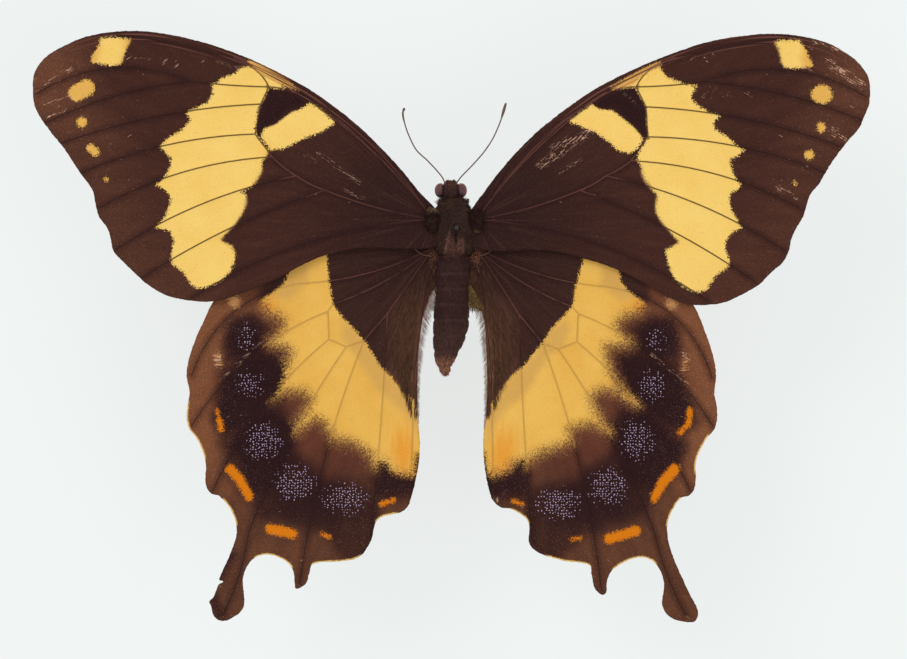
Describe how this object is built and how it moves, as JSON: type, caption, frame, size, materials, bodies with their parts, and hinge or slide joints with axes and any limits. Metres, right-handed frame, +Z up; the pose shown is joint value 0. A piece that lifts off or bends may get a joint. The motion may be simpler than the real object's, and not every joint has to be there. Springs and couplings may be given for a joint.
{
  "type": "homerus swallowtail butterfly, set specimen on a pin",
  "caption": "Life-size swallowtail butterfly with spread, tailed wings, feelers, coiled tongue and folded legs, held on a pin in a small flat block.",
  "frame": {"origin": "on the underside of the block, straight below the pin", "axes": "+X to the insect's right across its wingspan, +Y ahead of its head, +Z up out of its back"},
  "size_m": [0.1506, 0.1064, 0.0316],
  "materials": {
    "wings": "dry dark brown scales with yellow bands, orange crescents and lilac dust",
    "body": "dark brown fur",
    "shoulders": "olive and tan hair",
    "horn": "dark brown cuticle, softly shining",
    "eyes": "glossy reddish brown, finely faceted",
    "pin": "black enamel",
    "block": "plain pale white"
  },
  "bodies": {
    "root": {"forewing_left": "wings", "forewing_right": "wings", "hindwing_left": "wings", "hindwing_right": "wings", "thorax": "body", "abdomen": "body", "head": "body", "palp_left": "body", "palp_right": "body", "tegula_left": "shoulders", "tegula_right": "shoulders", "eye_left": "eyes", "eye_right": "eyes", "antenna_left": "horn", "antenna_right": "horn", "proboscis": "horn", "leg_front_left": "horn", "leg_front_right": "horn", "leg_middle_left": "horn", "leg_middle_right": "horn", "leg_hind_left": "horn", "leg_hind_right": "horn", "stand_pin": "pin", "stand_base": "block"}
  },
  "joints": []
}
